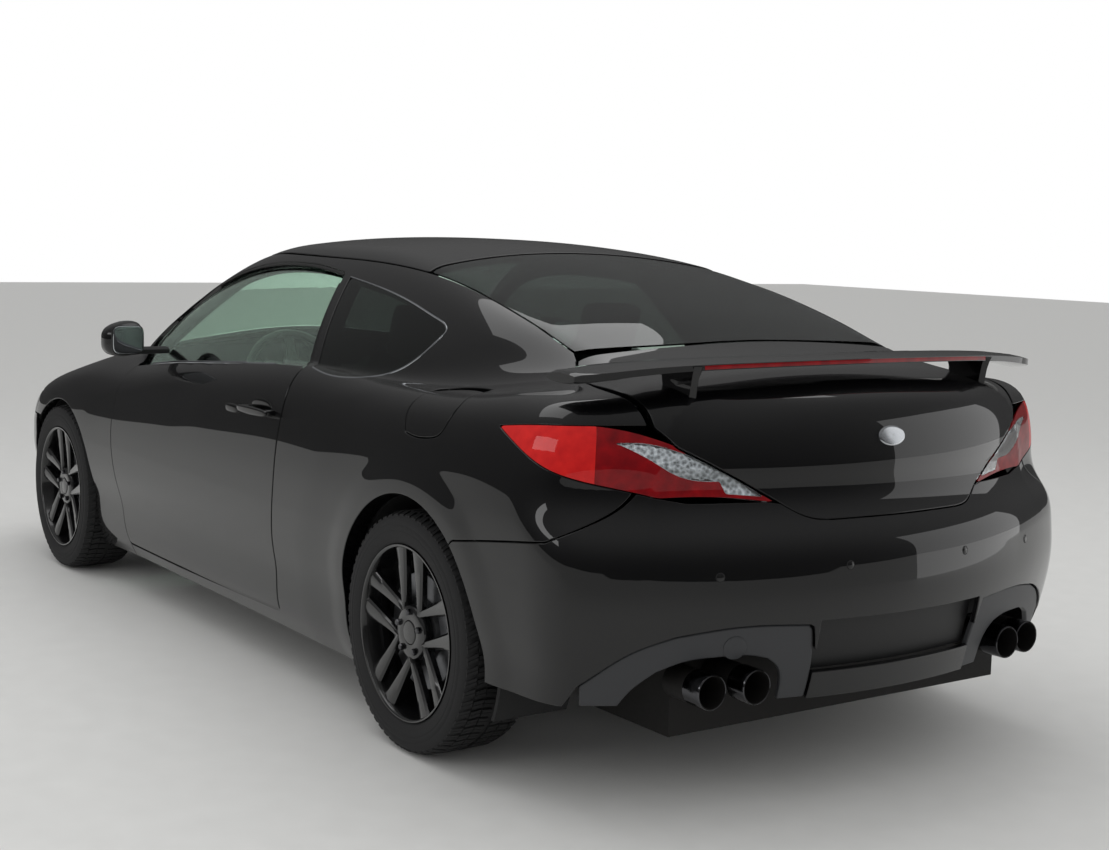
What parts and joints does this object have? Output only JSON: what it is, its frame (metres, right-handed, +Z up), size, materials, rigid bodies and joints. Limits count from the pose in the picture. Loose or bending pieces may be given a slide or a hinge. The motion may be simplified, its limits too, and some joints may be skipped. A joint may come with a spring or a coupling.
{
  "type": "two-door fastback coupe car",
  "caption": "Two-door fastback coupe with opening doors, bonnet, boot lid and fuel flap, turning and steering wheels, full cabin and a rear wing on pedestals.",
  "frame": {"origin": "on the ground under the middle of the car's outer box", "axes": "X forward along the length, Y to the car's left, Z up"},
  "size_m": [4.6067, 2.05, 1.3853],
  "materials": {
    "black_paint": "high gloss black",
    "dark_steel": "dark underbody steel",
    "cast_metal": "cast metal",
    "tyre_rubber": "matt tyre rubber",
    "black_rim": "gloss black wheel paint",
    "side_glass": "clear green glass",
    "dark_glass": "dark tinted glass",
    "lamp_red": "clear red lens",
    "lamp_clear": "clear lens over bright reflector",
    "satin_grey": "satin dark grey plastic",
    "black_plastic": "black plastic",
    "seat_cloth": "black cloth",
    "dark_leather": "black leather"
  },
  "bodies": {
    "body": {"floor_pan": "dark_steel", "firewall": "dark_steel", "boot_floor": "dark_steel", "wheel_houses": "dark_steel", "engine_block": "cast_metal", "front_suspension": "dark_steel", "rear_suspension": "dark_steel", "exhaust": "dark_steel", "front_bumper": "black_paint", "grille": "black_plastic", "headlamps": "lamp_clear", "front_wing_left": "black_paint", "front_wing_right": "black_paint", "cowl": "black_plastic", "windscreen": "side_glass", "roof": "black_paint", "rear_window": "dark_glass", "body_side_left": "black_paint", "body_side_right": "black_paint", "quarter_glasses": "dark_glass", "tail_lamps": "lamp_red", "rear_bumper": "black_paint", "diffuser": "satin_grey", "front_seats": "seat_cloth", "rear_bench": "seat_cloth", "dashboard": "black_plastic"},
    "door_left": {"door_left": "black_paint", "door_glass_left": "side_glass", "mirror_left": "black_paint", "door_handle_left": "black_paint"},
    "door_right": {"door_right": "black_paint", "door_glass_right": "side_glass", "mirror_right": "black_paint", "door_handle_right": "black_paint"},
    "bonnet": {"bonnet": "black_paint"},
    "boot_lid": {"boot_lid": "black_paint", "spoiler": "black_paint"},
    "fuel_flap": {"fuel_flap": "black_paint"},
    "steering_wheel": {"steering_wheel": "dark_leather"},
    "knuckle_left": {"knuckle_front_left": "cast_metal"},
    "knuckle_right": {"knuckle_front_right": "cast_metal"},
    "wheel_front_left": {"tyre_front_left": "tyre_rubber", "rim_front_left": "black_rim"},
    "wheel_front_right": {"tyre_front_right": "tyre_rubber", "rim_front_right": "black_rim"},
    "wheel_rear_left": {"tyre_rear_left": "tyre_rubber", "rim_rear_left": "black_rim"},
    "wheel_rear_right": {"tyre_rear_right": "tyre_rubber", "rim_rear_right": "black_rim"}
  },
  "joints": [
    {"name": "door_left_hinge", "type": "hinge", "parent": "body", "child": "door_left", "pos_m": [0.9, 0.907, 0.5], "axis": [0, 0, -1], "range_deg": [0, 65]},
    {"name": "door_right_hinge", "type": "hinge", "parent": "body", "child": "door_right", "pos_m": [0.9, -0.907, 0.5], "axis": [0, 0, 1], "range_deg": [0, 65]},
    {"name": "bonnet_hinge", "type": "hinge", "parent": "body", "child": "bonnet", "pos_m": [1.06, 0, 0.935], "axis": [0, -1, 0], "range_deg": [0, 55]},
    {"name": "boot_lid_hinge", "type": "hinge", "parent": "body", "child": "boot_lid", "pos_m": [-1.56, 0, 1.075], "axis": [0, 1, 0], "range_deg": [0, 70]},
    {"name": "fuel_flap_hinge", "type": "hinge", "parent": "body", "child": "fuel_flap", "pos_m": [-1.264, 0.901, 0.925], "axis": [0, 0, -1], "range_deg": [0, 90]},
    {"name": "steering_wheel_turn", "type": "hinge", "parent": "body", "child": "steering_wheel", "pos_m": [0.43, 0.37, 0.84], "axis": [-0.9063, 0, 0.4226], "range_deg": [-540, 540]},
    {"name": "steer_left", "type": "hinge", "parent": "body", "child": "knuckle_left", "pos_m": [1.49, 0.7295, 0.332], "axis": [0, 0, 1], "range_deg": [-32, 32]},
    {"name": "steer_right", "type": "hinge", "parent": "body", "child": "knuckle_right", "pos_m": [1.49, -0.7295, 0.332], "axis": [0, 0, 1], "range_deg": [-32, 32]},
    {"name": "spin_front_left", "type": "hinge", "parent": "knuckle_left", "child": "wheel_front_left", "pos_m": [1.49, 0.8015, 0.332], "axis": [0, 1, 0], "continuous": true},
    {"name": "spin_front_right", "type": "hinge", "parent": "knuckle_right", "child": "wheel_front_right", "pos_m": [1.49, -0.8015, 0.332], "axis": [0, 1, 0], "continuous": true},
    {"name": "spin_rear_left", "type": "hinge", "parent": "body", "child": "wheel_rear_left", "pos_m": [-1.33, 0.809, 0.332], "axis": [0, 1, 0], "continuous": true},
    {"name": "spin_rear_right", "type": "hinge", "parent": "body", "child": "wheel_rear_right", "pos_m": [-1.33, -0.809, 0.332], "axis": [0, 1, 0], "continuous": true}
  ],
  "couplings": [
    {"joint": "steer_right", "follows": "steer_left", "ratio": 1}
  ]
}
